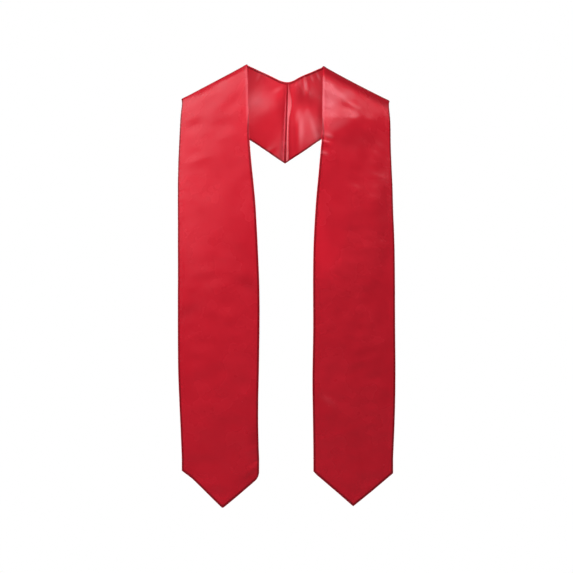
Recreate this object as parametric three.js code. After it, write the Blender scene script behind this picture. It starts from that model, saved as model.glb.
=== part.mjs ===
// A graduation stole: two satin strips joined by a seam behind the neck, in the form they take when worn.
// Millimetres, +Z up. The front panels hang on the -Y side, and left and right are as seen from there.
// The origin lies midway between the shoulder folds, level with the underside of the left one.
import * as THREE from "three";

// The strip and the way it hangs
const stripWidth = 140;
const neckHalfWidth = 69.3; // from the middle to the inner edge on the left shoulder
const neckBackDepth = 74; // from the shoulder folds back to the top of the centre seam
const seamDip = 24.7; // the seam's top is this far below the left shoulder fold
const seamTopShift = 2.7; // the seam's top lies this far right of the middle
const seamFootShift = -1.8; // and its foot this far, so that the seam leans
const rightFoldDrop = 3; // the right shoulder fold lies this far below the left one
const chestDepth = 112; // how far the panels hang in front of the shoulder folds
const frontDrop = 708.3; // from the left shoulder fold down to the level of the hem's corners
const pointDrop = 64; // from that level down to the lowest tip
const crownHeight = 4; // the strip's rise between its edges
const puckerHeight = 1.8; // the tallest of the soft dents and ridges

// Cloth
const faceThickness = 1;
const liningThickness = 1;
const allowanceThickness = 1;
const layerGap = 0.3; // between layers, and between the two halves
const liningInset = 0.5; // the lining stays this far inside the rolled edges
const allowanceWidth = 5; // each pressed-open seam allowance
const allowanceInset = 3; // the allowances stop this far short of the strip's edges

// Steps of the faceted surface in each stretch of the strip
const backSteps = 4;
const frontSteps = 2;
const hemSteps = 3;

const crestHeight = faceThickness + layerGap + liningThickness;

// A table's rows as objects with the named columns
const table = (columns, rows) =>
  rows.map((row) => Object.fromEntries(columns.map((column, place) => [column, row[place]])));

// The strip from the centre seam to the shoulder, a row for each section.
// The inner edge: out is a share of neckHalfWidth, back of neckBackDepth and dip of seamDip.
// The way from there to the outer edge (toOut, toBack, and leftDown or rightDown) and the crown
// are shares of stripWidth and crownHeight.
const neckSections = table(
  ["out", "back", "dip", "toOut", "toBack", "leftDown", "rightDown", "crown"],
  [
    [0, 1, 1, 0, 0.34, 1.02, 1.02, 0.3],
    [0.36, 0.93, 0.63, 0.1, 0.375, 0.905, 0.89, 0.8],
    [0.655, 0.745, 0.29, 0.22, 0.48, 0.8, 0.775, 1],
    [0.855, 0.5, 0.09, 0.43, 0.55, 0.71, 0.7, 0.9],
    [0.965, 0.24, 0.01, 0.64, 0.52, 0.58, 0.575, 0.4],
  ],
);

// The strip from the shoulder fold down the front. The inner edge: fall is a share of frontDrop,
// forward of chestDepth, and leftOut and rightOut of neckHalfWidth. The way to the outer edge is
// again in shares of stripWidth, sideways in leftTo and rightTo.
const frontSections = table(
  ["fall", "forward", "leftOut", "rightOut", "leftTo", "rightTo", "toBack", "toDown", "crown"],
  [
    [0, 0.02, 1, 0.955, 0.83, 0.84, 0.34, 0.41, 0],
    [0.01, 0.195, 0.993, 0.948, 0.83, 0.838, 0.36, 0.4, 0.2],
    [0.037, 0.34, 0.981, 0.94, 0.842, 0.843, 0.37, 0.39, 0.7],
    [0.088, 0.465, 0.964, 0.928, 0.86, 0.855, 0.37, 0.36, 1],
    [0.16, 0.59, 0.938, 0.91, 0.881, 0.868, 0.35, 0.31, 1],
    [0.245, 0.715, 0.878, 0.85, 0.914, 0.907, 0.31, 0.25, 0.9],
    [0.335, 0.82, 0.785, 0.765, 0.955, 0.954, 0.26, 0.18, 0.8],
    [0.435, 0.9, 0.72, 0.7, 0.98, 0.996, 0.21, 0.11, 0.7],
    [0.54, 0.955, 0.672, 0.68, 1, 1.007, 0.17, 0.05, 0.6],
    [0.655, 0.98, 0.664, 0.682, 1.002, 1.006, 0.14, 0.02, 0.6],
    [0.775, 0.98, 0.683, 0.664, 0.984, 1.017, 0.12, 0, 0.6],
    [0.88, 0.965, 0.696, 0.677, 0.955, 1, 0.1, 0, 0.5],
    [0.97, 0.945, 0.673, 0.688, 0.947, 0.976, 0.09, 0, 0.4],
  ],
);

// The hems from the inner to the outer edge: across is a share of the strip's width there, and
// drop of pointDrop.
const hemColumns = ["across", "drop"];
const leftHem = table(hemColumns, [
  [0, 0.1],
  [0.03, 0.22],
  [0.16, 0.455],
  [0.31, 0.725],
  [0.47, 1],
  [0.6, 0.745],
  [0.73, 0.475],
  [0.87, 0.2],
  [1, 0],
]);
const rightHem = table(hemColumns, [
  [0, 0],
  [0.04, 0.095],
  [0.16, 0.315],
  [0.33, 0.63],
  [0.496, 0.945],
  [0.62, 0.74],
  [0.75, 0.515],
  [0.87, 0.3],
  [1, 0.067],
]);

// Soft dents and ridges: along counts sections from the seam, wide is in sections, across and
// long are shares of the strip's width, and height of puckerHeight.
const puckerColumns = ["along", "wide", "across", "long", "height"];
const leftPuckers = table(puckerColumns, [
  [2, 0.5, 0.04, 0.16, -1],
  [2.9, 0.5, 0.05, 0.18, 0.8],
  [0.75, 0.5, 0.3, 0.25, 0.7],
]);
const rightPuckers = table(puckerColumns, [
  [1.65, 0.45, 0.07, 0.16, -1],
  [2.7, 0.5, 0.03, 0.16, -0.8],
  [1.2, 0.5, 0.5, 0.25, 0.9],
]);

// What differs between the halves: neckShare narrows a half's neck line, and foldDrop is how much
// lower its shoulder fold lies
const halves = [
  {
    name: "left",
    side: -1,
    neckShare: 1,
    foldDrop: 0,
    down: "leftDown",
    out: "leftOut",
    to: "leftTo",
    hem: leftHem,
    puckers: leftPuckers,
  },
  {
    name: "right",
    side: 1,
    neckShare: frontSections[0].rightOut,
    foldDrop: rightFoldDrop,
    down: "rightDown",
    out: "rightOut",
    to: "rightTo",
    hem: rightHem,
    puckers: rightPuckers,
  },
];

// The edges of one half as smooth curves through its sections, one point for each section
function stripEdges(half) {
  const inner = [];
  const outer = [];
  const crowns = [];
  const addSection = (innerPoint, toOut, toBack, toDown, crown) => {
    const across = new THREE.Vector3(half.side * toOut, toBack, -toDown).multiplyScalar(stripWidth);
    inner.push(innerPoint);
    outer.push(innerPoint.clone().add(across));
    crowns.push(crown * crownHeight);
  };
  for (const row of neckSections) {
    const height = crestHeight - row.dip * seamDip - (1 - row.dip) * half.foldDrop;
    const out = half.side * row.out * neckHalfWidth * half.neckShare;
    const point = new THREE.Vector3(out, row.back * neckBackDepth, height);
    addSection(point, row.toOut, row.toBack, row[half.down], row.crown);
  }
  for (const row of frontSections) {
    const height = crestHeight - row.fall * frontDrop - (1 - row.fall) * half.foldDrop;
    const out = half.side * row[half.out] * neckHalfWidth;
    const point = new THREE.Vector3(out, -row.forward * chestDepth, height);
    addSection(point, row[half.to], row.toBack, row.toDown, row.crown);
  }
  // Each curve starts one section early, at the mirror image of its second section, so that the
  // two halves meet smoothly at the seam, apart from the sharp point at the seam's foot
  for (const edge of [inner, outer]) {
    const image = edge[1].clone();
    image.x = -image.x;
    edge.unshift(image);
  }
  outer[0].z = 2 * outer[1].z - outer[2].z;
  inner[1].x = seamTopShift;
  outer[1].x = seamFootShift;
  return {
    inner: new THREE.CatmullRomCurve3(inner, false, "centripetal"),
    outer: new THREE.CatmullRomCurve3(outer, false, "centripetal"),
    crowns,
    last: inner.length - 2, // the last section before the hem, counted from the seam
  };
}

const sectionStep = 0.02; // for slopes, in sections and in shares of the width
const bell = (x) => Math.exp(-x * x);

// The outer surface of one half. along counts sections from the seam, and across goes from 0 at
// the inner edge to 1 at the outer edge.
function stripSurface(half) {
  const { inner, outer, crowns, last } = stripEdges(half);

  const flatPoint = (along, across) => {
    const share = (along + 1) / (last + 1);
    return inner.getPoint(share).lerp(outer.getPoint(share), across);
  };
  // The outward normal of a surface given as a function of along and across
  const normalOf = (pointAt, along, across) => {
    const from = Math.max(along - sectionStep, 0);
    const to = Math.min(along + sectionStep, last);
    const lengthwise = pointAt(to, across).sub(pointAt(from, across));
    const low = Math.max(across - sectionStep, 0);
    const high = Math.min(across + sectionStep, 1);
    const crosswise = pointAt(along, high).sub(pointAt(along, low));
    return lengthwise.cross(crosswise).multiplyScalar(half.side).normalize();
  };
  const reliefAt = (along, across) => {
    const section = Math.min(Math.floor(along), last - 1);
    const crown = THREE.MathUtils.lerp(crowns[section], crowns[section + 1], along - section);
    let relief = crown * Math.sin(Math.PI * across);
    for (const { along: place, wide, across: line, long, height } of half.puckers) {
      relief += height * puckerHeight * bell((along - place) / wide) * bell((across - line) / long);
    }
    return relief;
  };
  const pointAt = (along, across) => {
    const normal = normalOf(flatPoint, along, across);
    return flatPoint(along, across).addScaledVector(normal, reliefAt(along, across));
  };
  return { pointAt, normalAt: (along, across) => normalOf(pointAt, along, across), last };
}

// The hem's drop below the last section, at one place across the strip
function hemDropAt(half, across) {
  const next = Math.max(half.hem.findIndex((row) => row.across >= across), 1);
  const { across: from, drop: before } = half.hem[next - 1];
  const { across: to, drop: after } = half.hem[next];
  const share = (across - from) / (to - from);
  const cornerDrop = (1 - frontSections.at(-1).fall) * frontDrop;
  return cornerDrop + THREE.MathUtils.lerp(before, after, share) * pointDrop;
}

// Rows of places on the strip: each row has its along, and how much of the hem's drop it takes
function rowsFromSeamToHem(last) {
  const rows = [];
  for (let section = 0; section < last; section += 1) {
    const steps = section < neckSections.length ? backSteps : frontSteps;
    for (let step = 0; step < steps; step += 1) rows.push({ along: section + step / steps, hem: 0 });
  }
  for (let step = 0; step <= hemSteps; step += 1) rows.push({ along: last, hem: step / hemSteps });
  return rows;
}

// A closed sheet between two depths under the strip's outer surface
function sheetSolid({ half, surface, rows, edgeInset, depth, thickness }) {
  const inset = edgeInset / stripWidth;
  const columns = half.hem.map((row) => inset + row.across * (1 - 2 * inset));
  const seamAt = (across) =>
    THREE.MathUtils.lerp(seamTopShift, seamFootShift, across) + (half.side * layerGap) / 2;
  const positions = [];
  for (const level of [depth, depth + thickness]) {
    for (const row of rows) {
      for (const across of columns) {
        const point = surface.pointAt(row.along, across);
        point.addScaledVector(surface.normalAt(row.along, across), -level);
        point.z -= row.hem * (hemDropAt(half, across) - edgeInset * Math.SQRT2);
        if (row.along === 0) point.x = seamAt(across);
        positions.push(point.x, point.y, point.z);
      }
    }
  }
  const width = columns.length;
  const levelSize = rows.length * width;
  const triangles = [];
  const addQuad = (a, b, c, d) => {
    const corners = half.side > 0 ? [a, b, c, a, c, d] : [a, c, b, a, d, c];
    triangles.push(...corners);
  };
  const indexOf = (level, row, column) => level * levelSize + row * width + column;
  for (let row = 0; row < rows.length - 1; row += 1) {
    for (let column = 0; column < width - 1; column += 1) {
      const corners = [[row, column], [row + 1, column], [row + 1, column + 1], [row, column + 1]];
      const [a, b, c, d] = corners.map(([r, k]) => indexOf(0, r, k));
      addQuad(a, b, c, d);
      // Both levels are split along the same diagonal, so that the sheet keeps its thickness
      addQuad(a + levelSize, d + levelSize, c + levelSize, b + levelSize);
    }
  }
  const rim = [];
  for (let column = 0; column < width - 1; column += 1) rim.push([0, column]);
  for (let row = 0; row < rows.length - 1; row += 1) rim.push([row, width - 1]);
  for (let column = width - 1; column > 0; column -= 1) rim.push([rows.length - 1, column]);
  for (let row = rows.length - 1; row > 0; row -= 1) rim.push([row, 0]);
  rim.forEach(([row, column], place) => {
    const [nextRow, nextColumn] = rim[(place + 1) % rim.length];
    addQuad(
      indexOf(0, row, column),
      indexOf(0, nextRow, nextColumn),
      indexOf(1, nextRow, nextColumn),
      indexOf(1, row, column),
    );
  });
  const geometry = new THREE.BufferGeometry();
  geometry.setAttribute("position", new THREE.Float32BufferAttribute(positions, 3));
  geometry.setIndex(triangles);
  geometry.computeVertexNormals();
  return geometry;
}

function namedMesh(name, geometry, color, roughness) {
  const material = new THREE.MeshStandardMaterial({ color, roughness, metalness: 0 });
  const mesh = new THREE.Mesh(geometry, material);
  mesh.name = name;
  return mesh;
}

// One half: its face, its lining and its half of the pressed-open centre seam
function stoleHalf(half) {
  const surface = stripSurface(half);
  const rows = rowsFromSeamToHem(surface.last);
  const liningDepth = faceThickness + layerGap;
  const allowanceDepth = liningDepth + liningThickness + layerGap;

  const face = sheetSolid({ half, surface, rows, edgeInset: 0, depth: 0, thickness: faceThickness });
  const lining = sheetSolid({
    half,
    surface,
    rows,
    edgeInset: liningInset,
    depth: liningDepth,
    thickness: liningThickness,
  });

  // The allowance reaches allowanceWidth from the seam, measured on the surface at mid strip
  const seamStep = surface.pointAt(sectionStep, 0.5).distanceTo(surface.pointAt(0, 0.5));
  const reach = (allowanceWidth / seamStep) * sectionStep;
  const allowance = sheetSolid({
    half,
    surface,
    rows: [{ along: 0, hem: 0 }, { along: reach, hem: 0 }],
    edgeInset: allowanceInset,
    depth: allowanceDepth,
    thickness: allowanceThickness,
  });

  const group = new THREE.Group();
  group.add(namedMesh(`${half.name}_face`, face, 0xc4202f, 0.42));
  group.add(namedMesh(`${half.name}_lining`, lining, 0xc82436, 0.45));
  group.add(namedMesh(`${half.name}_seam_allowance`, allowance, 0xd23a4a, 0.5));
  return group;
}

const stole = new THREE.Group();
for (const half of halves) stole.add(stoleHalf(half));

export default stole;
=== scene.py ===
import math
import bmesh
import bpy
import numpy as np
from mathutils import Matrix, Vector


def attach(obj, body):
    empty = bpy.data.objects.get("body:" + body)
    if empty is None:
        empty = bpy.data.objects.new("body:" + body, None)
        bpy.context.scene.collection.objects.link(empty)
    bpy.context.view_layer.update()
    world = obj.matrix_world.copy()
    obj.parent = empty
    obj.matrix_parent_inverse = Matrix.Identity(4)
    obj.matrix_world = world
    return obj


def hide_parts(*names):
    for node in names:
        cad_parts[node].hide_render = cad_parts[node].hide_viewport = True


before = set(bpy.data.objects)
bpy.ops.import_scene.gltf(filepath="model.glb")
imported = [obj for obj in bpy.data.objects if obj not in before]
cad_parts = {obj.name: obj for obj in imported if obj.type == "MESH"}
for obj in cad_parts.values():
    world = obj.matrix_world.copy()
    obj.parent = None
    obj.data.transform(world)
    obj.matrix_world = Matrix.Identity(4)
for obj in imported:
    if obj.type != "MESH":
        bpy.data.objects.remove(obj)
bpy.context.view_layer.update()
print("frame loaded:", ", ".join(sorted(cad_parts)))

mm = 0.001

# The strip and the way it hangs, in metres, as the frame's solids have it
strip = {
    "width": 0.140,
    "neckHalfWidth": 0.0693,
    "neckBackDepth": 0.074,
    "seamDip": 0.0247,
    "seamTopShift": 0.0027,
    "seamFootShift": -0.0018,
    "chestDepth": 0.112,
    "frontDrop": 0.7083,
    "pointDrop": 0.064,
    "crownHeight": 0.004,
    "thickness": 0.0023,  # both layers and what lies between them
}

# From the centre seam to the shoulder. The inner edge is in shares of neckHalfWidth, neckBackDepth
# and seamDip, the way to the outer edge in shares of the width, and crown of crownHeight
neckColumns = ("out", "back", "dip", "toOut", "toBack", "leftDown", "rightDown", "crown")
neckSections = (
    (0, 1, 1, 0, 0.34, 1.02, 1.02, 0.3),
    (0.36, 0.93, 0.63, 0.1, 0.375, 0.905, 0.89, 0.8),
    (0.655, 0.745, 0.29, 0.22, 0.48, 0.8, 0.775, 1),
    (0.855, 0.5, 0.09, 0.43, 0.55, 0.71, 0.7, 0.9),
    (0.965, 0.24, 0.01, 0.64, 0.52, 0.58, 0.575, 0.4),
)

# From the shoulder fold down the front. fall is a share of frontDrop, forward of chestDepth, and
# leftOut and rightOut of neckHalfWidth
frontColumns = ("fall", "forward", "leftOut", "rightOut", "leftTo", "rightTo", "toBack", "toDown", "crown")
frontSections = (
    (0, 0.02, 1, 0.955, 0.83, 0.84, 0.34, 0.41, 0),
    (0.01, 0.195, 0.993, 0.948, 0.83, 0.838, 0.36, 0.4, 0.2),
    (0.037, 0.34, 0.981, 0.94, 0.842, 0.843, 0.37, 0.39, 0.7),
    (0.088, 0.465, 0.964, 0.928, 0.86, 0.855, 0.37, 0.36, 1),
    (0.16, 0.59, 0.938, 0.91, 0.881, 0.868, 0.35, 0.31, 1),
    (0.245, 0.715, 0.878, 0.85, 0.914, 0.907, 0.31, 0.25, 0.9),
    (0.335, 0.82, 0.785, 0.765, 0.955, 0.954, 0.26, 0.18, 0.8),
    (0.435, 0.9, 0.72, 0.7, 0.98, 0.996, 0.21, 0.11, 0.7),
    (0.54, 0.955, 0.672, 0.68, 1, 1.007, 0.17, 0.05, 0.6),
    (0.655, 0.98, 0.664, 0.682, 1.002, 1.006, 0.14, 0.02, 0.6),
    (0.775, 0.98, 0.683, 0.664, 0.984, 1.017, 0.12, 0, 0.6),
    (0.88, 0.965, 0.696, 0.677, 0.955, 1, 0.1, 0, 0.5),
    (0.97, 0.945, 0.673, 0.688, 0.947, 0.976, 0.09, 0, 0.4),
)

# The hems from the inner to the outer edge: place across the strip, and drop as a share of pointDrop
leftHem = (
    (0, 0.04),
    (0.012, 0.14),
    (0.035, 0.225),
    (0.08, 0.31),
    (0.16, 0.455),
    (0.31, 0.725),
    (0.47, 1),
    (0.6, 0.745),
    (0.73, 0.475),
    (0.87, 0.2),
    (1, 0),
)
rightHem = (
    (0, 0),
    (0.04, 0.095),
    (0.16, 0.315),
    (0.33, 0.63),
    (0.496, 0.945),
    (0.62, 0.74),
    (0.75, 0.515),
    (0.87, 0.3),
    (1, 0.067),
)

# Soft ridges, dents and patches where they are seen from the front, in millimetres: the middle's x and
# z, the angle from upright in degrees, half length, half width and height (negative for a dent, 0 for a
# patch). tone is the share of painted sheen on it, or of painted shade where it is negative: the patches
# are nothing but painted highlights and painted shade
markColumns = ("x", "z", "angle", "long", "wide", "height", "paintedTone")
leftNeckMarks = (
    (-50, -13, 20, 7, 2.6, 0.9, 0.25),
    (-45, -15, 20, 8, 2.6, -0.7, 0),
    (-63, -12, 0, 12, 5, -1.2, 0),
    (-40, -56, 68, 30, 13, 1.2, 0.15),
    (-46, -53, 66, 24, 8, 0, 0.22),
    (-15, -35, 60, 9, 3.5, 0.3, 0.35),
    (-8, -68, 0, 26, 7, 0, -0.42),
    (-27, -141, 60, 9, 4, -0.9, 0),
)
rightNeckMarks = (
    (34.5, -28, -6, 13, 2.8, 1.4, 1.1),
    (25, -44, -10, 26, 14, 0, -0.75),
    (46, -50, 0, 14, 8, 0, -0.4),
    (14.5, -111, -2, 26, 3.6, 0, -0.35),
    (39, -30, -6, 13, 2.6, -1.3, 0),
    (47, -16, -14, 6, 1.8, 0.8, 0.5),
    (53, -14, -14, 6, 2.0, -0.8, 0),
    (58, -13, -20, 7, 2.0, 1.0, 0.5),
    (65, -17, -16, 10, 2.4, -0.8, 0),
    (22, -112, 2, 30, 5, 0.7, 0),
    (36, -112, 10, 14, 4, -0.3, 0),
    (28, -104, 3, 30, 4, 0, 0.45),
    (50, -102, -17, 27, 4, 0, 0.55),
    (22, -79, 8, 14, 5, 0, 0.5),
    (37, -76, 0, 12, 5, 0, 0.35),
)
leftFrontMarks = (
    (-120, -150, 70, 60, 26, 0.8, 0),
    (-90, -230, -60, 50, 22, -0.8, 0),
    (-150, -300, 40, 60, 24, 0.8, 0),
    (-100, -420, -50, 70, 24, -0.8, 0),
    (-135, -520, 60, 70, 26, 0.8, 0),
    (-52, -668, 75, 13, 5, 1.1, 0),
    (-53, -690, 60, 12, 4, -1.0, 0),
    (-60, -705, 50, 14, 4.5, 0.9, 0),
    (-62, -385, -60, 28, 12, 0, -0.3),
    (-170, -431, 66, 34, 12, 0, -0.32),
    (-95, -340, 76, 44, 14, 0, -0.1),
    (-54, -650, 0, 18, 9, 0, -0.5),
    (-64, -718, 45, 26, 11, 0, -0.35),
    (-170, -705, 20, 34, 16, 0, -0.2),
)
rightFrontMarks = (
    (122, -101, 88, 62, 24, 3.4, 0),
    (74, -122, 30, 30, 15, 1.9, 0),
    (73, -68, 0, 38, 13, 0, 0.6),
    (91, -106, 54, 22, 8, 0, 0.25),
    (122, -136, 88, 46, 14, 0, -0.34),
    (160, -305, 20, 50, 26, 0, -0.16),
    (78, -138, -40, 22, 7, -0.5, 0.12),
    (96, -56, 62, 26, 10, 0, 0.3),
    (120, -180, -62, 60, 24, -0.3, 0),
    (72, -127, -72, 8, 3.4, 1.2, 0.5),
    (70, -133, -66, 8, 3.0, -1.0, 0),
    (67, -141, -74, 7, 3.0, 1.0, 0),
    (66, -149, -70, 7, 3.0, -0.9, 0),
    (66, -158, -72, 6, 2.6, 0.9, 0.5),
    (140, -320, 58, 70, 26, 0.8, 0),
    (90, -430, -54, 66, 24, -0.8, 0),
    (140, -560, 60, 70, 26, 0.8, 0),
    (77, -284, -10, 40, 15, 0, -0.4),
    (174, -240, 0, 90, 18, 0, -0.36),
    (150, -388, 70, 36, 16, 0, -0.24),
    (135, -504, 80, 44, 12, 0, -0.2),
    (72, -584, -55, 14, 5, 0.6, 0.1),
)

halves = (
    {
        "name": "left",
        "side": -1,
        "neckShare": 1.0,  # of neckHalfWidth
        "foldDrop": 0.0,  # how much lower the shoulder fold is
        "foldSag": 0.0,  # and how far its middle sinks
        "foldShade": 0.0,  # share of painted shade below it
        "hem": leftHem,
        "neckMarks": leftNeckMarks,
        "frontMarks": leftFrontMarks,
        "seed": 3,
    },
    {
        "name": "right",
        "side": 1,
        "neckShare": 0.955,
        "foldDrop": 0.003,
        "foldSag": 0.0008,
        "foldShade": 0.95,
        "hem": rightHem,
        "neckMarks": rightNeckMarks,
        "frontMarks": rightFrontMarks,
        "seed": 11,
    },
)


def tableRows(columns, rows):
    return [dict(zip(columns, row)) for row in rows]


def smoothStep(low, high, value):
    share = np.clip((value - low) / (high - low), 0, 1)
    return share * share * (3 - 2 * share)


# A smooth curve through the rows, straight at both ends, with its slope
def smoothCurve(knots, rows):
    gaps = np.diff(knots)
    climbs = np.diff(rows, axis=0) / gaps[:, None]
    count = len(knots)
    system = np.eye(count)
    wanted = np.zeros(rows.shape)
    for place in range(1, count - 1):
        before, after = gaps[place - 1], gaps[place]
        system[place, place - 1 : place + 2] = before, 2 * (before + after), after
        wanted[place] = 6 * (climbs[place] - climbs[place - 1])
    bends = np.linalg.solve(system, wanted)

    def valueAndSlope(places):
        span = np.clip(np.searchsorted(knots, places, side="right") - 1, 0, count - 2)
        gap = gaps[span][:, None]
        near = (knots[span + 1] - places)[:, None] / gap
        far = 1 - near
        bendNear, bendFar = bends[span], bends[span + 1]
        value = near * rows[span] + far * rows[span + 1]
        value = value + ((near**3 - near) * bendNear + (far**3 - far) * bendFar) * gap**2 / 6
        slope = climbs[span] + ((1 - 3 * near**2) * bendNear + (3 * far**2 - 1) * bendFar) * gap / 6
        return value, slope

    return valueAndSlope


# The edges of one half: its inner edge, outer edge and crown at a distance along from the seam
def stripCurve(half):
    side, sections = half["side"], []

    def addSection(inner, toOut, toBack, toDown, crown):
        outer = np.array(inner) + strip["width"] * np.array((side * toOut, toBack, -toDown))
        sections.append((*inner, *outer, crown * strip["crownHeight"]))

    for row in tableRows(neckColumns, neckSections):
        x = side * row["out"] * strip["neckHalfWidth"] * half["neckShare"]
        z = strip["thickness"] - row["dip"] * strip["seamDip"] - (1 - row["dip"]) * half["foldDrop"]
        inner = (x, row["back"] * strip["neckBackDepth"], z)
        addSection(inner, row["toOut"], row["toBack"], row[half["name"] + "Down"], row["crown"])
    for row in tableRows(frontColumns, frontSections):
        x = side * row[half["name"] + "Out"] * strip["neckHalfWidth"]
        z = strip["thickness"] - row["fall"] * strip["frontDrop"] - (1 - row["fall"]) * half["foldDrop"]
        inner = (x, -row["forward"] * strip["chestDepth"], z)
        addSection(inner, row[half["name"] + "To"], row["toBack"], row["toDown"], row["crown"])

    # One more section before the seam, the mirror image of the next, apart from the seam's sharp foot
    rows = np.array(sections)
    image = rows[1].copy()
    image[[0, 3]] *= -1
    image[5] = 2 * rows[0, 5] - rows[1, 5]
    rows = np.vstack((image, rows))
    rows[1, 0], rows[1, 3] = strip["seamTopShift"], strip["seamFootShift"]
    middles = (rows[:, 0:3] + rows[:, 3:6]) / 2
    knots = np.concatenate(((0,), np.cumsum(np.linalg.norm(np.diff(middles, axis=0), axis=1))))
    knots -= knots[1]
    fold = knots[1 + len(neckSections)]
    return smoothCurve(knots, rows), fold, knots[-1]


# How the strip's edges are rolled, pressed and sewn, and where shade and highlights are painted near them
edge = {
    "rollReach": 0.0030,
    "rollSteps": 7,
    "laterals": (3.8, 4.8, 6.0, 7.2, 8.4, 9.4, 10.4, 11.4, 12.6, 14, 16),  # in millimetres
    "pressedFrom": 0.0120,  # where the seam allowance inside the edge ends
    "pressedTo": 0.0085,
    "pressedHeight": 0.00016,
    "rippleHeight": 0.00009,
    "rippleLength": 0.0075,
    "rippleStretches": (0.83, 1.0, 1.21, 1.47),
    "rippleReach": 0.009,
    "rippleSeed": 100,
    "neckClear": 0.004,  # how much of the painted dark band is missing from the inner edges beside the neck
    "neckClearFrom": 0.14,
    "neckClearTo": 0.10,
    "catch": 0.4,  # share of painted highlight, in the pale colour, on the same edges where their roll would catch the light
    "catchFrom": 0.0056,
    "catchTo": 0.0018,
    "sagReach": 0.035,  # along the strip, to both sides of a shoulder fold
    "shadeFrom": 0.044,  # the painted shade band below the fold
    "shadeTo": 0.026,
    "creaseShade": 0.5,  # share of painted shade in the lining's crease beside the centre seam
    "creaseFrom": 0.012,
    "creaseTo": 0.006,
}

grid = {
    "middleColumns": 36,
    "rowSpacing": 0.0025,
    "hemRows": 14,
    "seamRows": (0, 0.08, 0.25, 0.45, 0.7, 1.1, 1.7),  # in millimetres from the seam
    "seamRoll": 0.0006,
}

# Where the marks and waves of the neck end and those of the front begin, along from the shoulder fold
zones = {
    "neckEnd": 0.004,
    "neckWhole": -0.012,
    "frontStart": 0.004,
    "frontWhole": 0.03,
    "calmReach": 0.03,  # the waves are lower than in the middle this far in from an edge
    "calmShare": 0.35,
    "rippleStart": 0.02,  # from the centre seam
}


# Distances in from an edge, and how far the surface has risen there from the edge's middle
def edgeProfile():
    angles = np.linspace(0, math.pi / 2, edge["rollSteps"] + 1)
    rolled = edge["rollReach"] * (1 - np.cos(angles))
    flat = np.array(edge["laterals"]) * mm
    laterals = np.concatenate((rolled, flat))
    rises = np.concatenate((np.sin(angles), np.ones(len(flat))))
    return laterals, rises


def hemDrop(half, across):
    places, drops = np.array(half["hem"]).T
    corner = (1 - frontSections[-1][0]) * strip["frontDrop"]
    return corner + np.interp(across, places, drops) * strip["pointDrop"]


def markSum(rows, x, z, column):
    total = np.zeros(x.shape)
    for mark in tableRows(markColumns, rows):
        angle = math.radians(mark["angle"])
        right, up = x - mark["x"] * mm, z - mark["z"] * mm
        lengthwise = (right * math.sin(angle) + up * math.cos(angle)) / (mark["long"] * mm)
        sideways = (right * math.cos(angle) - up * math.sin(angle)) / (mark["wide"] * mm)
        total += mark[column] * np.exp(-(lengthwise**2) - sideways**2)
    return total


waves = {"count": 18, "height": 0.00055, "shortest": 0.03, "longest": 0.12}
wisps = {"count": 24, "height": 0.00018, "shortest": 0.020, "longest": 0.042, "turn": 0.55}


# Long shallow waves that a hanging strip keeps from being folded and pressed
def softWaves(half, across, along):
    draws = np.random.default_rng(half["seed"])
    total = np.zeros(across.shape)
    for _ in range(waves["count"]):
        length = draws.uniform(waves["shortest"], waves["longest"])
        turn = draws.uniform(0, math.pi)
        phase = draws.uniform(0, 2 * math.pi)
        total += np.sin((across * math.cos(turn) + along * math.sin(turn)) * 2 * math.pi / length + phase)
    total *= waves["height"] / waves["count"] ** 0.5
    small = np.zeros(across.shape)
    for _ in range(wisps["count"]):
        length = draws.uniform(wisps["shortest"], wisps["longest"])
        turn = draws.uniform(-wisps["turn"], wisps["turn"])
        phase = draws.uniform(0, 2 * math.pi)
        small += np.sin((across * math.sin(turn) + along * math.cos(turn)) * 2 * math.pi / length + phase)
    return total + small * wisps["height"] / wisps["count"] ** 0.5


def edgeRipples(half, along, fromEdge):
    draws = np.random.default_rng(half["seed"] + edge["rippleSeed"])
    total = np.zeros(along.shape)
    for stretch in edge["rippleStretches"]:
        phase = draws.uniform(0, 2 * math.pi)
        total += np.sin(along * 2 * math.pi / (edge["rippleLength"] * stretch) + phase)
    fade = np.exp(-((fromEdge / edge["rippleReach"]) ** 2))
    return total * fade * edge["rippleHeight"]


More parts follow.
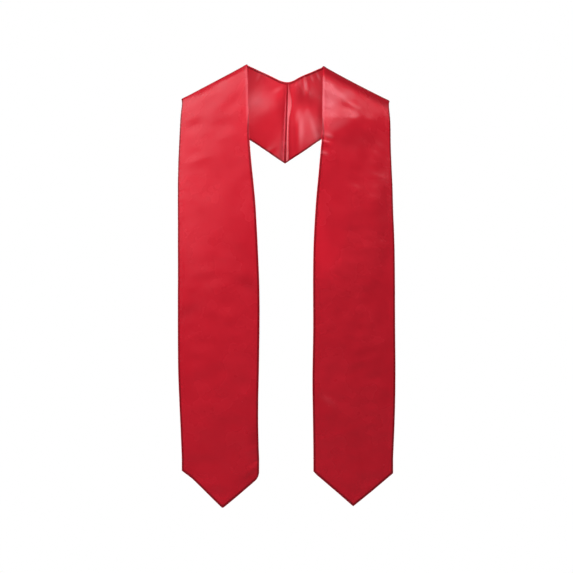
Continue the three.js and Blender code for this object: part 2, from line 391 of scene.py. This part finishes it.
# One layer of a half as a mesh: the face's outer side, or the lining's inner side
def stripLayer(half, layer):
    curve, fold, last = stripCurve(half)
    side, radius = half["side"], strip["thickness"] / 2
    laterals, rises = edgeProfile()
    zone = laterals[-1]

    # Columns as a share of the width between the edge zones and a fixed distance
    tip = max(half["hem"], key=lambda row: row[1])[0]
    innerCount = round(grid["middleColumns"] * tip)
    innerPart = np.linspace(0, tip, innerCount + 1)
    outerPart = np.linspace(tip, 1, grid["middleColumns"] - innerCount + 1)
    middle = np.concatenate((innerPart[1:], outerPart[1:-1]))
    columnShare = np.concatenate((np.zeros(len(laterals)), middle, np.ones(len(laterals))))
    columnFixed = np.concatenate((laterals, np.full(len(middle), zone), 2 * zone - laterals[::-1]))
    columnRise = np.concatenate((rises, np.ones(len(middle)), rises[::-1]))

    # Rows along the strip, then rows that share the hem's drop, then the hem's edge zone
    seamLaterals = np.array(grid["seamRows"]) * mm
    seamRises = np.sqrt(np.clip(1 - (1 - seamLaterals / grid["seamRoll"]).clip(0, 1) ** 2, 0, 1))
    plainRows = np.linspace(seamLaterals[-1], last, round(last / grid["rowSpacing"]))[1:]
    hemShares = np.linspace(0, 1, grid["hemRows"] + 1)[1:]
    edgeRows = laterals[::-1][1:]
    rowAlong = np.concatenate((seamLaterals, plainRows, np.full(len(hemShares) + len(edgeRows), last)))
    longRows = len(seamLaterals) + len(plainRows)
    rowHemShare = np.concatenate((np.zeros(longRows), hemShares, np.ones(len(edgeRows))))
    rowFromHem = np.concatenate((np.full(longRows + len(hemShares), zone), edgeRows))
    hemRise = np.concatenate((np.ones(longRows + len(hemShares)), rises[::-1][1:]))
    seamRise = np.concatenate((seamRises, np.ones(len(rowAlong) - len(seamRises))))

    values, slopes = curve(rowAlong)
    inner, outer, crown = values[:, 0:3], values[:, 3:6], values[:, 6]
    way = outer - inner
    width = np.linalg.norm(way, axis=1)
    inset = layer["edgeInset"]
    distance = columnShare[None, :] * (width - 2 * zone)[:, None] + columnFixed[None, :]
    across = distance / width[:, None]
    placed = inset / width[:, None] + across * (1 - 2 * inset / width[:, None])

    points = inner[:, None, :] + way[:, None, :] * placed[:, :, None]
    lengthwise = slopes[:, None, 0:3] * (1 - placed[:, :, None]) + slopes[:, None, 3:6] * placed[:, :, None]
    normals = np.cross(lengthwise, np.broadcast_to(way[:, None, :], lengthwise.shape)) * side
    normals /= np.linalg.norm(normals, axis=2, keepdims=True)

    # The hem hangs straight down from the last section
    drop = hemDrop(half, across) - inset * math.sqrt(2)
    zoneDrop = zone * math.sqrt(2)
    hemPlace = rowHemShare[:, None] * (drop - zoneDrop)
    hemPlace = hemPlace + (zone - rowFromHem)[:, None] * math.sqrt(2)
    isHem = (rowHemShare > 0)[:, None]
    points[:, :, 2] -= np.where(isHem, hemPlace, 0)

    along = rowAlong[:, None] + np.where(isHem, hemPlace, 0)
    fromSides = np.minimum(distance, width[:, None] - distance)
    toHem = np.where(isHem, (drop - hemPlace) / math.sqrt(2), last - rowAlong[:, None] + drop)
    fromEdge = np.minimum(fromSides, toHem)
    besideNeck = smoothStep(fold + edge["neckClearFrom"], fold + edge["neckClearTo"], along)
    besideNeck = besideNeck * (across < 0.5)
    # The painted dark band along the edges is left off the inner edges beside the neck
    if not layer["inside"]:
        fromEdge = fromEdge + besideNeck * edge["neckClear"]

    x, z = points[:, :, 0], points[:, :, 2]
    isNeck = smoothStep(fold + zones["neckEnd"], fold + zones["neckWhole"], along)
    isFront = smoothStep(fold + zones["frontStart"], fold + zones["frontWhole"], along)
    lively = zones["calmShare"] + (1 - zones["calmShare"]) * smoothStep(0, zones["calmReach"], fromSides)
    sag = half["foldSag"] * np.exp(-(((along - fold) / edge["sagReach"]) ** 2))
    relief = (crown[:, None] - sag) * np.sin(math.pi * across)
    relief = relief - isNeck * markSum(half["neckMarks"], x, z, "height") * mm
    relief = relief + isFront * markSum(half["frontMarks"], x, z, "height") * mm
    relief = relief + softWaves(half, distance, along) * lively * isFront
    relief = relief + edgeRipples(half, along, fromSides) * smoothStep(0, zones["rippleStart"], along)
    rise = columnRise[None, :] * hemRise[:, None]
    pressed = edge["pressedHeight"] * smoothStep(edge["pressedFrom"], edge["pressedTo"], fromEdge)

    if layer["inside"]:
        depth = radius * (1 + rise) + pressed
        depth = depth - (1 - seamRise)[:, None] * layer["seamDip"]
    else:
        depth = radius * (1 - rise) - pressed
        depth = depth + (1 - seamRise)[:, None] * layer["seamDip"]
    points = points + normals * (relief - depth)[:, :, None]
    seamX = strip["seamTopShift"] + (strip["seamFootShift"] - strip["seamTopShift"]) * across[0]
    points[0, :, 0] = seamX + side * layer["seamGap"]

    place = np.stack((distance, along), axis=2)
    # Painted light and shade: sheen and highlights from the marks and beside the neck, shade from the
    # marks, the lining's crease at the centre seam and the band below the right shoulder fold
    if layer["inside"]:
        paintedTone = isNeck * markSum(half["neckMarks"], x, z, "paintedTone")
        paintedTone = paintedTone - edge["creaseShade"] * smoothStep(edge["creaseFrom"], edge["creaseTo"], along)
    else:
        paintedTone = isFront * markSum(half["frontMarks"], x, z, "paintedTone")
        catch = smoothStep(edge["catchFrom"], edge["catchTo"], distance) * besideNeck * isFront
        shade = smoothStep(fold + edge["shadeFrom"], fold + edge["shadeTo"], along)
        shade = shade * smoothStep(fold - edge["shadeTo"], fold, along)
        paintedTone = paintedTone + edge["catch"] * catch - half["foldShade"] * shade
    return points, place, {"fromEdge": fromEdge, "pale": paintedTone.clip(0, 1), "paintedShade": (-paintedTone).clip(0, 1)}


# A cloth piece from a grid of points, with its place on the flat cloth as its UV map
def gridPiece(name, points, place, values, flip):
    rows, columns = points.shape[:2]
    cloth = bmesh.new()
    cloth.loops.layers.uv.new("clothMap")
    bmesh.ops.create_grid(cloth, x_segments=columns - 1, y_segments=rows - 1, size=0.5, calc_uvs=True)
    mesh = bpy.data.meshes.new(name)
    cloth.to_mesh(mesh)
    cloth.free()
    count = len(mesh.vertices)
    flat = np.zeros(count * 3)
    mesh.vertices.foreach_get("co", flat)
    flat = flat.reshape(-1, 3)
    column = np.rint((flat[:, 0] + 0.5) * (columns - 1)).astype(int)
    row = np.rint((flat[:, 1] + 0.5) * (rows - 1)).astype(int)
    mesh.vertices.foreach_set("co", points[row, column].ravel())

    corner = np.zeros(len(mesh.loops), int)
    mesh.loops.foreach_get("vertex_index", corner)
    mesh.uv_layers[0].data.foreach_set("uv", place[row, column][corner].ravel())
    for title, numbers in values.items():
        layer = mesh.attributes.new(title, "FLOAT", "POINT")
        layer.data.foreach_set("value", numbers[row, column].astype(np.float32))
    if flip:
        mesh.flip_normals()
    mesh.shade_smooth()
    mesh.update()
    piece = bpy.data.objects.new(name, mesh)
    bpy.context.scene.collection.objects.link(piece)
    return piece


def thicken(piece, thickness):
    wall = piece.modifiers.new("cloth", "SOLIDIFY")
    wall.thickness = thickness
    wall.offset = -1
    wall.use_rim = True
    wall.use_quality_normals = True


faceLayer = {
    "inside": False,
    "edgeInset": -0.0005,
    "thickness": 0.0005,
    "seamDip": 0.0006,
    "seamGap": -0.0001,  # the halves meet in the seam
}
liningLayer = {
    "inside": True,
    "edgeInset": -0.00035,
    "thickness": 0.0005,
    "seamDip": 0.0004,
    "seamGap": -0.0001,  # the halves meet in the seam
}


def sheetPiece(half, title, layer):
    points, place, values = stripLayer(half, layer)
    flip = (half["side"] > 0) != layer["inside"]
    name = half["name"] + title
    piece = gridPiece(name, points, place, values, flip)
    area = sum(face.area for face in piece.data.polygons)
    length = place[:, :, 1].max()
    print(f"{name}: {len(piece.data.polygons)} faces, area {area:.4f} m2, length {length:.3f} m")
    thicken(piece, layer["thickness"])
    return piece


# The pressed-open allowances of the centre seam, on the lining's side, from its top to its foot: place
# along the seam, reach from the seam and lift off the lining, in millimetres
leftAllowance = (
    (0, 2.0, 0.3),
    (0.08, 2.6, 0.6),
    (0.25, 3.6, 1.0),
    (0.5, 4.3, 1.1),
    (0.8, 4.6, 1.1),
    (0.95, 4.6, 0.9),
    (1, 4.4, 0.5),
)
rightAllowance = (
    (0, 2.6, 0.5),
    (0.05, 4.0, 1.1),
    (0.13, 7.5, 2.0),
    (0.24, 10.5, 2.7),
    (0.34, 9.5, 2.4),
    (0.44, 5.6, 1.5),
    (0.55, 4.3, 1.1),
    (0.75, 4.2, 1.0),
    (0.93, 4.6, 1.0),
    (1, 4.4, 0.5),
)

allowance = {
    "inset": 0.003,
    "rows": 14,
    "columns": 150,
    "thickness": 0.0004,
    "clear": 0.0001,
    "seamGap": 0.0003,
    "bulge": 0.8,  # below 1, a strip is highest nearer to the seam
    "fray": 0.00025,
    "fraySeed": 200,
    "frayBlur": (0.25, 0.5, 0.25),
    "topShade": 0.7,  # painted shade, darker towards the top of the seam
    "shadeFrom": 0.42,
    "shadeTo": 0.02,
}


def allowancePiece(half, rows):
    curve, _, _ = stripCurve(half)
    side = half["side"]
    places, reaches, lifts = np.array(rows).T
    down = np.linspace(0, 1, allowance["columns"])
    reach, lift = (smoothCurve(places, each[:, None] * mm)(down)[0][:, 0] for each in (reaches, lifts))
    draws = np.random.default_rng(half["seed"] + allowance["fraySeed"])
    fray = np.convolve(draws.uniform(-1, 1, len(down)), allowance["frayBlur"], "same")
    step = np.linspace(0, 1, allowance["rows"])

    # Rows go away from the seam, and columns down along it
    away = allowance["seamGap"] + step[:, None] * (reach + fray * allowance["fray"])[None, :]
    values, slopes = curve(away.ravel())
    shape = (len(step), len(down), 3)
    inner, outer = values[:, 0:3].reshape(shape), values[:, 3:6].reshape(shape)
    way = outer - inner
    width = np.linalg.norm(way, axis=2, keepdims=True)
    across = (allowance["inset"] + down[None, :, None] * (width - 2 * allowance["inset"])) / width
    points = inner + way * across
    innerSlope, outerSlope = slopes[:, 0:3].reshape(shape), slopes[:, 3:6].reshape(shape)
    lengthwise = innerSlope * (1 - across) + outerSlope * across
    normals = np.cross(lengthwise, way) * side
    normals /= np.linalg.norm(normals, axis=2, keepdims=True)
    crown = values[:, 6].reshape(shape[:2]) * np.sin(math.pi * across[:, :, 0])
    marks = markSum(half["neckMarks"], points[:, :, 0], points[:, :, 2], "height") * mm
    profile = np.sin(math.pi * step ** allowance["bulge"])[:, None] * lift[None, :]
    depth = strip["thickness"] + allowance["clear"] + allowance["thickness"] + profile
    points = points + normals * (crown - marks - depth)[:, :, None]
    place = np.stack((away, across[:, :, 0] * width[:, :, 0]), axis=2)
    # Painted shade towards the top of the seam, and along the seam itself through fromEdge
    shade = allowance["topShade"] * smoothStep(allowance["shadeFrom"], allowance["shadeTo"], down)
    tones = {"fromEdge": step[:, None] * reach[None, :], "paintedShade": np.tile(shade, (len(step), 1))}
    name = half["name"] + "SeamAllowance"
    piece = gridPiece(name, points, place, tones, side < 0)
    print(f"{name}: {len(piece.data.polygons)} faces")
    thicken(piece, allowance["thickness"])
    return piece


def addNode(tree, kind, **settings):
    node = tree.nodes.new(kind)
    for key, value in settings.items():
        setattr(node, key, value)
    return node


# A node group with named inputs and outputs, and its two end nodes
def newGroup(name, inputs, outputs):
    group = bpy.data.node_groups.new(name, "ShaderNodeTree")
    for way, sockets in (("INPUT", inputs), ("OUTPUT", outputs)):
        for title, kind in sockets.items():
            group.interface.new_socket(name=title, in_out=way, socket_type="NodeSocket" + kind)
    return group, addNode(group, "NodeGroupInput"), addNode(group, "NodeGroupOutput")


# One math node, fed by numbers or sockets
def calculate(tree, operation, *terms):
    node = addNode(tree, "ShaderNodeMath", operation=operation)
    for socket, term in zip(node.inputs, terms):
        if isinstance(term, bpy.types.NodeSocket):
            tree.links.new(term, socket)
        else:
            socket.default_value = term
    return node.outputs[0]


# A value carried smoothly from one range to another
def ranged(tree, value, low, high, outLow=0.0, outHigh=1.0):
    node = addNode(tree, "ShaderNodeMapRange", interpolation_type="SMOOTHSTEP")
    tree.links.new(value, node.inputs["Value"])
    for title, number in (("From Min", low), ("From Max", high), ("To Min", outLow), ("To Max", outHigh)):
        node.inputs[title].default_value = number
    return node.outputs[0]


# Length of a float in threads, and its shift from thread to thread and its dip as shares of that
weave = {"floatLength": 5.0, "shift": 0.4, "dipFrom": 0.5, "dipTo": 0.38}


# Satin's long floats: fine ridges along the strip, each thread dipping under one in every five
def makeWeaveGroup():
    group, start, end = newGroup("satinWeave", {"Place": "Vector", "Thread": "Float"}, {"Height": "Float"})
    parts = addNode(group, "ShaderNodeSeparateXYZ")
    group.links.new(start.outputs["Place"], parts.inputs[0])
    threads = calculate(group, "DIVIDE", parts.outputs["X"], start.outputs["Thread"])
    number = calculate(group, "FLOOR", threads)
    turn = calculate(group, "MULTIPLY", calculate(group, "FRACT", threads), math.pi)
    ridge = calculate(group, "SINE", turn)
    floatLength = calculate(group, "MULTIPLY", start.outputs["Thread"], weave["floatLength"])
    floats = calculate(group, "DIVIDE", parts.outputs["Y"], floatLength)
    shifted = calculate(group, "ADD", floats, calculate(group, "MULTIPLY", number, weave["shift"]))
    fromDip = calculate(group, "SUBTRACT", calculate(group, "FRACT", shifted), 0.5)
    above = ranged(group, calculate(group, "ABSOLUTE", fromDip), weave["dipFrom"], weave["dipTo"])
    group.links.new(calculate(group, "MULTIPLY", ridge, above), end.inputs["Height"])
    return group


cloudMix = {"sizes": (1.0, 3.1), "shares": (0.65, 0.35), "detail": 2.0, "from": 0.28, "to": 0.72}


# Slow cloudy variation of the cloth, in two sizes
def makeCloudGroup():
    group, start, end = newGroup("clothClouds", {"Place": "Vector", "Size": "Float"}, {"Mask": "Float"})
    layers = []
    for size, share in zip(cloudMix["sizes"], cloudMix["shares"]):
        noise = addNode(group, "ShaderNodeTexNoise")
        noise.inputs["Detail"].default_value = cloudMix["detail"]
        group.links.new(start.outputs["Place"], noise.inputs["Vector"])
        group.links.new(calculate(group, "MULTIPLY", start.outputs["Size"], size), noise.inputs["Scale"])
        layers.append(calculate(group, "MULTIPLY", noise.outputs["Fac"], share))
    total = calculate(group, "ADD", *layers)
    group.links.new(ranged(group, total, cloudMix["from"], cloudMix["to"]), end.inputs["Mask"])
    return group


# Where each mask of a rolled edge starts and is whole, as a share of its reach
edgeMasks = {"Band": ("Reach", 1.0, 0.66), "Rim Mask": ("Rim", 1.5, 0.5)}


# Masks of a rolled edge: the painted shade band along it, and the thin painted highlight rim outside that
def makeEdgeGroup():
    inputs = {"From Edge": "Float", "Reach": "Float", "Rim": "Float"}
    group, start, end = newGroup("paintedEdgeShading", inputs, dict.fromkeys(edgeMasks, "Float"))
    for title, (reach, none, whole) in edgeMasks.items():
        share = calculate(group, "DIVIDE", start.outputs["From Edge"], start.outputs[reach])
        group.links.new(ranged(group, share, none, whole), end.inputs[title])
    return group


weaveGroup = makeWeaveGroup()
cloudGroup = makeCloudGroup()
edgeGroup = makeEdgeGroup()


# A group in a material, fed by numbers or sockets
def placeGroup(tree, group, **values):
    node = addNode(tree, "ShaderNodeGroup", node_tree=group)
    for title, value in values.items():
        socket = node.inputs[title.replace("_", " ")]
        if isinstance(value, bpy.types.NodeSocket):
            tree.links.new(value, socket)
        else:
            socket.default_value = value
    return node.outputs


def mixColours(tree, share, first, second):
    node = addNode(tree, "ShaderNodeMix", data_type="RGBA")
    tree.links.new(share, node.inputs["Factor"])
    for socket, colour in ((node.inputs[6], first), (node.inputs[7], second)):
        if isinstance(colour, bpy.types.NodeSocket):
            tree.links.new(colour, socket)
        else:
            socket.default_value = (*colour, 1)
    return node.outputs[2]


# Colours of the satin: light and dark vary at random. The edge colour is painted shade along the rolled
# edges, the rim colour a painted highlight at their very edge, the deep colour painted shade and the pale
# colour a painted sheen
faceSatin = {
    "name": "faceSatin",
    "light": (0.62, 0.010, 0.025),
    "dark": (0.56, 0.009, 0.022),
    "edge": (0.28, 0.003, 0.009),
    "rim": (0.95, 0.03, 0.07),
    "paintedShade": (0.34, 0.004, 0.012),
    "pale": (0.72, 0.14, 0.17),
    "edgeShadeReach": 0.0044,
    "rimReach": 0.0004,
    "cloudSize": 11.0,
    "roughness": (0.22, 0.30),
    "thread": 0.00040,
    "weaveDepth": 0.00003,
    "bump": 0.6,
    "specular": 0.56,
    "tint": (1.0, 0.5, 0.56),
    "anisotropy": 0.4,
}
# The lining's light and dark are paler in green and blue than the face's: a faint painted sheen
liningSatin = {
    **faceSatin,
    "name": "liningSatin",
    "light": (0.62, 0.017, 0.033),
    "dark": (0.57, 0.015, 0.029),
    "edge": (0.24, 0.002, 0.007),
    "edgeShadeReach": 0.0050,
    "roughness": (0.19, 0.25),
}
# The seam allowances are paler and pinker than the lining, a painted sheen on the strips, and their edge
# colour is painted shade in the slit at the seam
allowanceSheenSatin = {
    **faceSatin,
    "name": "allowanceSheenSatin",
    "light": (0.74, 0.07, 0.10),
    "dark": (0.66, 0.04, 0.065),
    "edgeShadeReach": 0.0012,
    "rimReach": 0.00001,
}
# A brighter copy for the right strip: painted highlight on its bulge
rightAllowanceSheenSatin = {
    **allowanceSheenSatin,
    "name": "rightAllowanceSheenSatin",
    "light": (0.90, 0.18, 0.21),
    "dark": (0.84, 0.14, 0.17),
}


def satinMaterial(look):
    material = bpy.data.materials.new(look["name"])
    material.use_nodes = True
    tree = material.node_tree
    tree.nodes.clear()
    shader = addNode(tree, "ShaderNodeBsdfPrincipled")
    output = addNode(tree, "ShaderNodeOutputMaterial")
    tree.links.new(shader.outputs[0], output.inputs["Surface"])
    place = addNode(tree, "ShaderNodeUVMap", uv_map="clothMap").outputs[0]
    fromEdge = addNode(tree, "ShaderNodeAttribute", attribute_name="fromEdge").outputs["Fac"]
    clouds = placeGroup(tree, cloudGroup, Place=place, Size=look["cloudSize"])[0]
    rolled = placeGroup(tree, edgeGroup, From_Edge=fromEdge, Reach=look["edgeShadeReach"], Rim=look["rimReach"])
    colour = mixColours(tree, clouds, look["dark"], look["light"])
    # Painted shade along the edges, then a painted highlight at their very edge
    colour = mixColours(tree, rolled["Band"], colour, look["edge"])
    colour = mixColours(tree, rolled["Rim Mask"], colour, look["rim"])
    # Painted shade and painted sheen from the marks, the folds and the creases
    for paintedTone in ("paintedShade", "pale"):
        share = addNode(tree, "ShaderNodeAttribute", attribute_name=paintedTone).outputs["Fac"]
        colour = mixColours(tree, share, colour, look[paintedTone])
    tree.links.new(colour, shader.inputs["Base Color"])
    rough = ranged(tree, clouds, 0.0, 1.0, *look["roughness"])
    tree.links.new(rough, shader.inputs["Roughness"])
    threads = placeGroup(tree, weaveGroup, Place=place, Thread=look["thread"])[0]
    bump = addNode(tree, "ShaderNodeBump")
    bump.inputs["Distance"].default_value = look["weaveDepth"]
    bump.inputs["Strength"].default_value = look["bump"]
    tree.links.new(threads, bump.inputs["Height"])
    tree.links.new(bump.outputs[0], shader.inputs["Normal"])
    shader.inputs["Specular IOR Level"].default_value = look["specular"]
    shader.inputs["Specular Tint"].default_value = (*look["tint"], 1)
    shader.inputs["Anisotropic"].default_value = look["anisotropy"]
    return material


def dress(piece, material):
    piece.data.materials.append(material)
    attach(piece, "root")


faceMaterial = satinMaterial(faceSatin)
liningMaterial = satinMaterial(liningSatin)
allowanceLooks = (allowanceSheenSatin, rightAllowanceSheenSatin)

for half, look, rows in zip(halves, allowanceLooks, (leftAllowance, rightAllowance)):
    face = sheetPiece(half, "Face", faceLayer)
    lining = sheetPiece(half, "Lining", liningLayer)
    seamStrip = allowancePiece(half, rows)
    dress(face, faceMaterial)
    dress(lining, liningMaterial)
    dress(seamStrip, satinMaterial(look))
    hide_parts(half["name"] + "_face")
    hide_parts(half["name"] + "_lining")
    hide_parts(half["name"] + "_seam_allowance")
    print(f"{half['name']} half dressed")

# The camera stands level before the middle of the stole
viewing = {"angle": 14.05, "sensor": 36, "distance": 4.1, "height": -0.3891, "sideways": 0.0009}


def placeCamera():
    data = bpy.data.cameras.new("viewCamera")
    data.sensor_width = viewing["sensor"]
    data.lens = data.sensor_width / 2 / math.tan(math.radians(viewing["angle"] / 2))
    camera = bpy.data.objects.new("viewCamera", data)
    camera.location = (viewing["sideways"], -viewing["distance"], viewing["height"])
    camera.rotation_euler = (math.pi / 2, 0, 0)
    bpy.context.scene.collection.objects.link(camera)
    bpy.context.scene.camera = camera


# Lights by the place they aim at (mm) and the way to them: turned from straight in front (left is
# negative) and raised, in degrees. The satin mirrors only those marked so
aimColumns = ("name", "aimX", "aimY", "aimZ", "turned", "raised", "distance")
boxColumns = (*aimColumns, "width", "height", "brightness", "mirrored")
softBoxes = (
    ("keyBox", 0, 0, -180, -88, 41, 2.4, 2.6, 1.3, 1.88, True),
    ("edgeBox", 0, 0, -100, 0, 36, 2.2, 0.5, 0.25, 9.0, True),
    ("frontBox", 0, 0, -100, -30, 30, 2.0, 1.0, 0.8, 2.5, False),
    ("leftNearBox", -110, -60, -250, -50, 10, 0.9, 0.5, 0.6, 3.8, False),
    ("rightBox", 100, 0, -60, 58, 45, 2.2, 0.8, 0.40, 9.0, True),
    ("rightSideBox", 100, 0, -60, 95, 40, 2.2, 1.3, 0.30, 1.4, True),
    ("rightHighBox", 110, -40, -75, 38, 60, 0.75, 0.35, 0.25, 10.0, False),
    ("leftBackBox", 0, 0, -180, -140, 20, 2.8, 1.4, 1.4, 1.2, False),
    ("rightBackBox", 0, 0, -180, 140, 20, 2.8, 1.4, 1.4, 1.2, False),
    ("neckLeftSheen", -45, 90, -57, 2, -55, 0.24, 0.08, 0.06, 4.2, True),
    ("neckRightSheen", 39, 90, -105, 34, -28, 0.14, 0.045, 0.045, 7.0, True),
    ("neckLeftCorner", -62, 45, -40, 37, -12, 0.074, 0.03, 0.03, 9.0, False),
    ("neckRightCorner", 60, 45, -60, -37, -8, 0.074, 0.03, 0.03, 5.4, False),
)

# Two for the lining inside the neck, and two weak ones for the middle of the panels
spotColumns = (*aimColumns, "cone", "radius", "power", "mirrored")
spots = (
    ("neckFill", -6, 90, -79, 3, -6, 3.2, 3.2, 0.03, 162, False),
    ("neckTopSheen", 42, 85, -32, 8, -56, 0.9, 3.6, 0.03, 26, True),
    ("leftFill", -88, -60, -212, -8, 4, 3.0, 3.3, 0.08, 24, False),
    ("rightFill", 86, -45, -188, 8, 4, 3.0, 2.2, 0.08, 22, False),
)
spotBlend = 0.6


def addLight(data, row):
    turned, raised = math.radians(row["turned"]), math.radians(row["raised"])
    flat = math.cos(raised)
    away = Vector((math.sin(turned) * flat, -math.cos(turned) * flat, math.sin(raised)))
    light = bpy.data.objects.new(row["name"], data)
    light.location = Vector((row["aimX"], row["aimY"], row["aimZ"])) * mm + away * row["distance"]
    light.rotation_euler = away.to_track_quat("Z", "Y").to_euler()
    light.visible_camera = False
    light.visible_glossy = row["mirrored"]
    bpy.context.scene.collection.objects.link(light)


def placeLights():
    for row in tableRows(boxColumns, softBoxes):
        data = bpy.data.lights.new(row["name"], "AREA")
        data.shape = "RECTANGLE"
        data.size, data.size_y = row["width"], row["height"]
        data.energy = math.pi * row["width"] * row["height"] * row["brightness"]
        addLight(data, row)
    for row in tableRows(spotColumns, spots):
        data = bpy.data.lights.new(row["name"], "SPOT")
        data.spot_size, data.spot_blend = math.radians(row["cone"]), spotBlend
        data.shadow_soft_size = row["radius"]
        data.energy = row["power"]
        addLight(data, row)


# The room's brightness on the satin, the share of it from behind, where the two meet along Y, and how
# much of the room the satin mirrors
room = {"ambient": 0.46, "behind": 0.3, "backY": 0.4, "frontY": -0.4, "gloss": 0.05}


# White to the camera. The satin gets most of it from the front, and mirrors little of it
def whiteRoom():
    world = bpy.data.worlds.new("whiteRoom")
    world.use_nodes = True
    bpy.context.scene.world = world
    tree = world.node_tree
    paths = addNode(tree, "ShaderNodeLightPath")
    parts = addNode(tree, "ShaderNodeSeparateXYZ")
    tree.links.new(addNode(tree, "ShaderNodeTexCoord").outputs["Generated"], parts.inputs[0])
    behind = room["ambient"] * room["behind"]
    ambient = ranged(tree, parts.outputs["Y"], room["backY"], room["frontY"], behind, room["ambient"])
    unmirrored = calculate(tree, "SUBTRACT", 1.0, paths.outputs["Is Glossy Ray"])
    gloss = calculate(tree, "MULTIPLY", paths.outputs["Is Glossy Ray"], room["gloss"])
    others = calculate(tree, "ADD", gloss, calculate(tree, "MULTIPLY", ambient, unmirrored))
    strength = calculate(tree, "MAXIMUM", paths.outputs["Is Camera Ray"], others)
    background = tree.nodes["Background"]
    background.inputs["Color"].default_value = (1, 1, 1, 1)
    tree.links.new(strength, background.inputs["Strength"])


floorLook = {"height": -1.45, "radius": 14.0, "segments": 96, "albedo": 0.55}


# White to the camera, and pale to the light that it sends back up
def placeFloor():
    disc = bmesh.new()
    size = {"segments": floorLook["segments"], "radius": floorLook["radius"]}
    bmesh.ops.create_circle(disc, cap_ends=True, **size)
    mesh = bpy.data.meshes.new("studioFloor")
    disc.to_mesh(mesh)
    disc.free()
    mesh.transform(Matrix.Translation((0, 0, floorLook["height"])))
    floor = bpy.data.objects.new("studioFloor", mesh)
    bpy.context.scene.collection.objects.link(floor)
    material = bpy.data.materials.new("paleFloor")
    material.use_nodes = True
    tree = material.node_tree
    tree.nodes.clear()
    paths = addNode(tree, "ShaderNodeLightPath")
    pale = addNode(tree, "ShaderNodeBsdfDiffuse")
    pale.inputs["Color"].default_value = (*[floorLook["albedo"]] * 3, 1)
    glow = addNode(tree, "ShaderNodeEmission")
    mix = addNode(tree, "ShaderNodeMixShader")
    output = addNode(tree, "ShaderNodeOutputMaterial")
    tree.links.new(paths.outputs["Is Camera Ray"], mix.inputs[0])
    tree.links.new(pale.outputs[0], mix.inputs[1])
    tree.links.new(glow.outputs[0], mix.inputs[2])
    tree.links.new(mix.outputs[0], output.inputs["Surface"])
    mesh.materials.append(material)


placeCamera()
placeLights()
whiteRoom()
placeFloor()
bpy.context.scene.view_settings.view_transform = "Standard"
print("camera, lights and floor placed")
